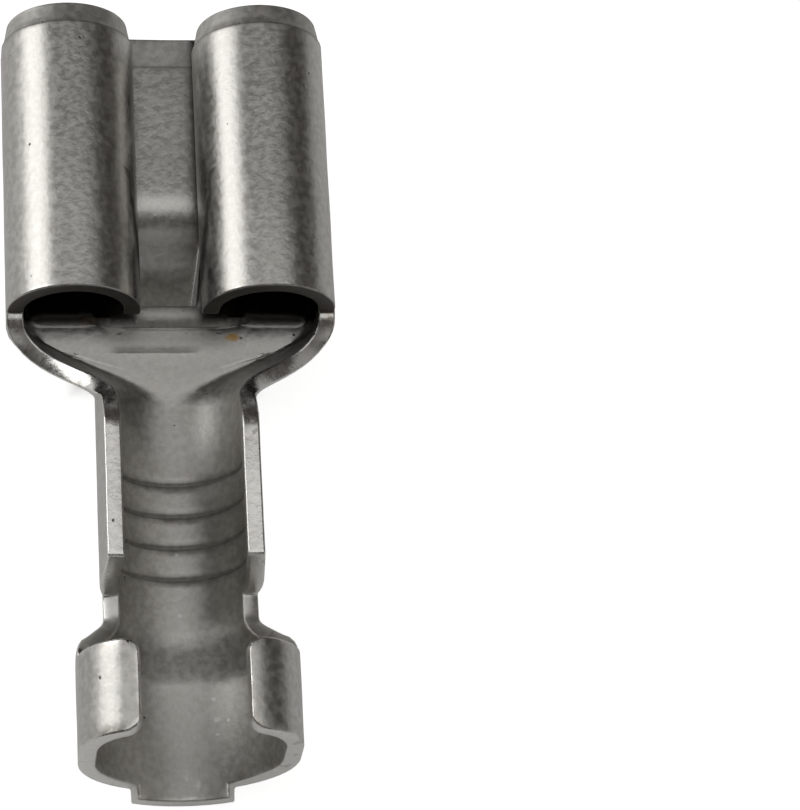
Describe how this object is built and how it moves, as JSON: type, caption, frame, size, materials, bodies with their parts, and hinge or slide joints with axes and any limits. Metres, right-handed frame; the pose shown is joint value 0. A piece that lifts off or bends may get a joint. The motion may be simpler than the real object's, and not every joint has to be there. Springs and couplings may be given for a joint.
{
  "type": "female spade terminal",
  "caption": "Female spade terminal folded from tin-plated brass sheet, with rolled receptacle, locking tongue and open crimp barrels.",
  "frame": {"origin": "middle of the tab slot at the mouth: half way across, and half way up the tab that it takes", "axes": "+Y out of the mouth along the tab, -Y to the wire end, +Z from the flat floor to the rolled curls, +X across"},
  "size_m": [0.0078, 0.019, 0.0055],
  "materials": {
    "tinned_brass": "satin"
  },
  "bodies": {
    "root": {"terminal": "tinned_brass"}
  },
  "joints": []
}
